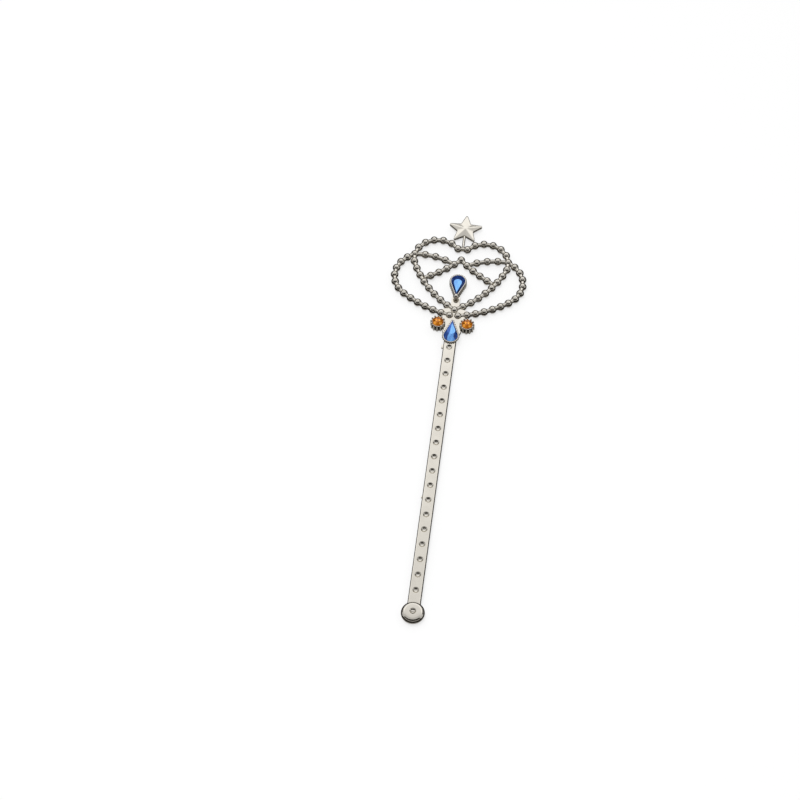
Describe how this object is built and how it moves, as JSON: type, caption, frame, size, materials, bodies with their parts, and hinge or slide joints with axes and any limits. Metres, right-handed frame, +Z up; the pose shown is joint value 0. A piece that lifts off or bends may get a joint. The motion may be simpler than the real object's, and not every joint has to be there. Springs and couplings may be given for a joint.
{
  "type": "toy magic wand",
  "caption": "Silver-plated plastic toy wand: flat dimpled shaft with a round end button and an openwork heart head of beads, set with drop and round stones under a star.",
  "frame": {"origin": "middle of the bounding box in plan, on the surface that the wand lies on", "axes": "+Y along the shaft from the button to the star, +Z up out of the face that carries the stones, +X to the right with the face up and the star away"},
  "size_m": [0.0948, 0.3302, 0.0076],
  "materials": {
    "plated": "bright vacuum-plated silver over moulded plastic",
    "blue_stone": "faceted foil-backed acrylic, sapphire blue",
    "amber_stone": "faceted foil-backed acrylic, amber"
  },
  "bodies": {
    "root": {"handle": "plated", "yoke": "plated", "heart_top": "plated", "heart_side_left": "plated", "heart_side_right": "plated", "outer_strand_left": "plated", "outer_strand_right": "plated", "arch_strand": "plated", "lobe_strand_left": "plated", "lobe_strand_right": "plated", "star_finial": "plated", "upper_setting": "plated", "lower_setting": "plated", "left_round_setting": "plated", "right_round_setting": "plated", "upper_drop_stone": "blue_stone", "lower_drop_stone": "blue_stone", "left_round_stone": "amber_stone", "right_round_stone": "amber_stone"}
  },
  "joints": []
}
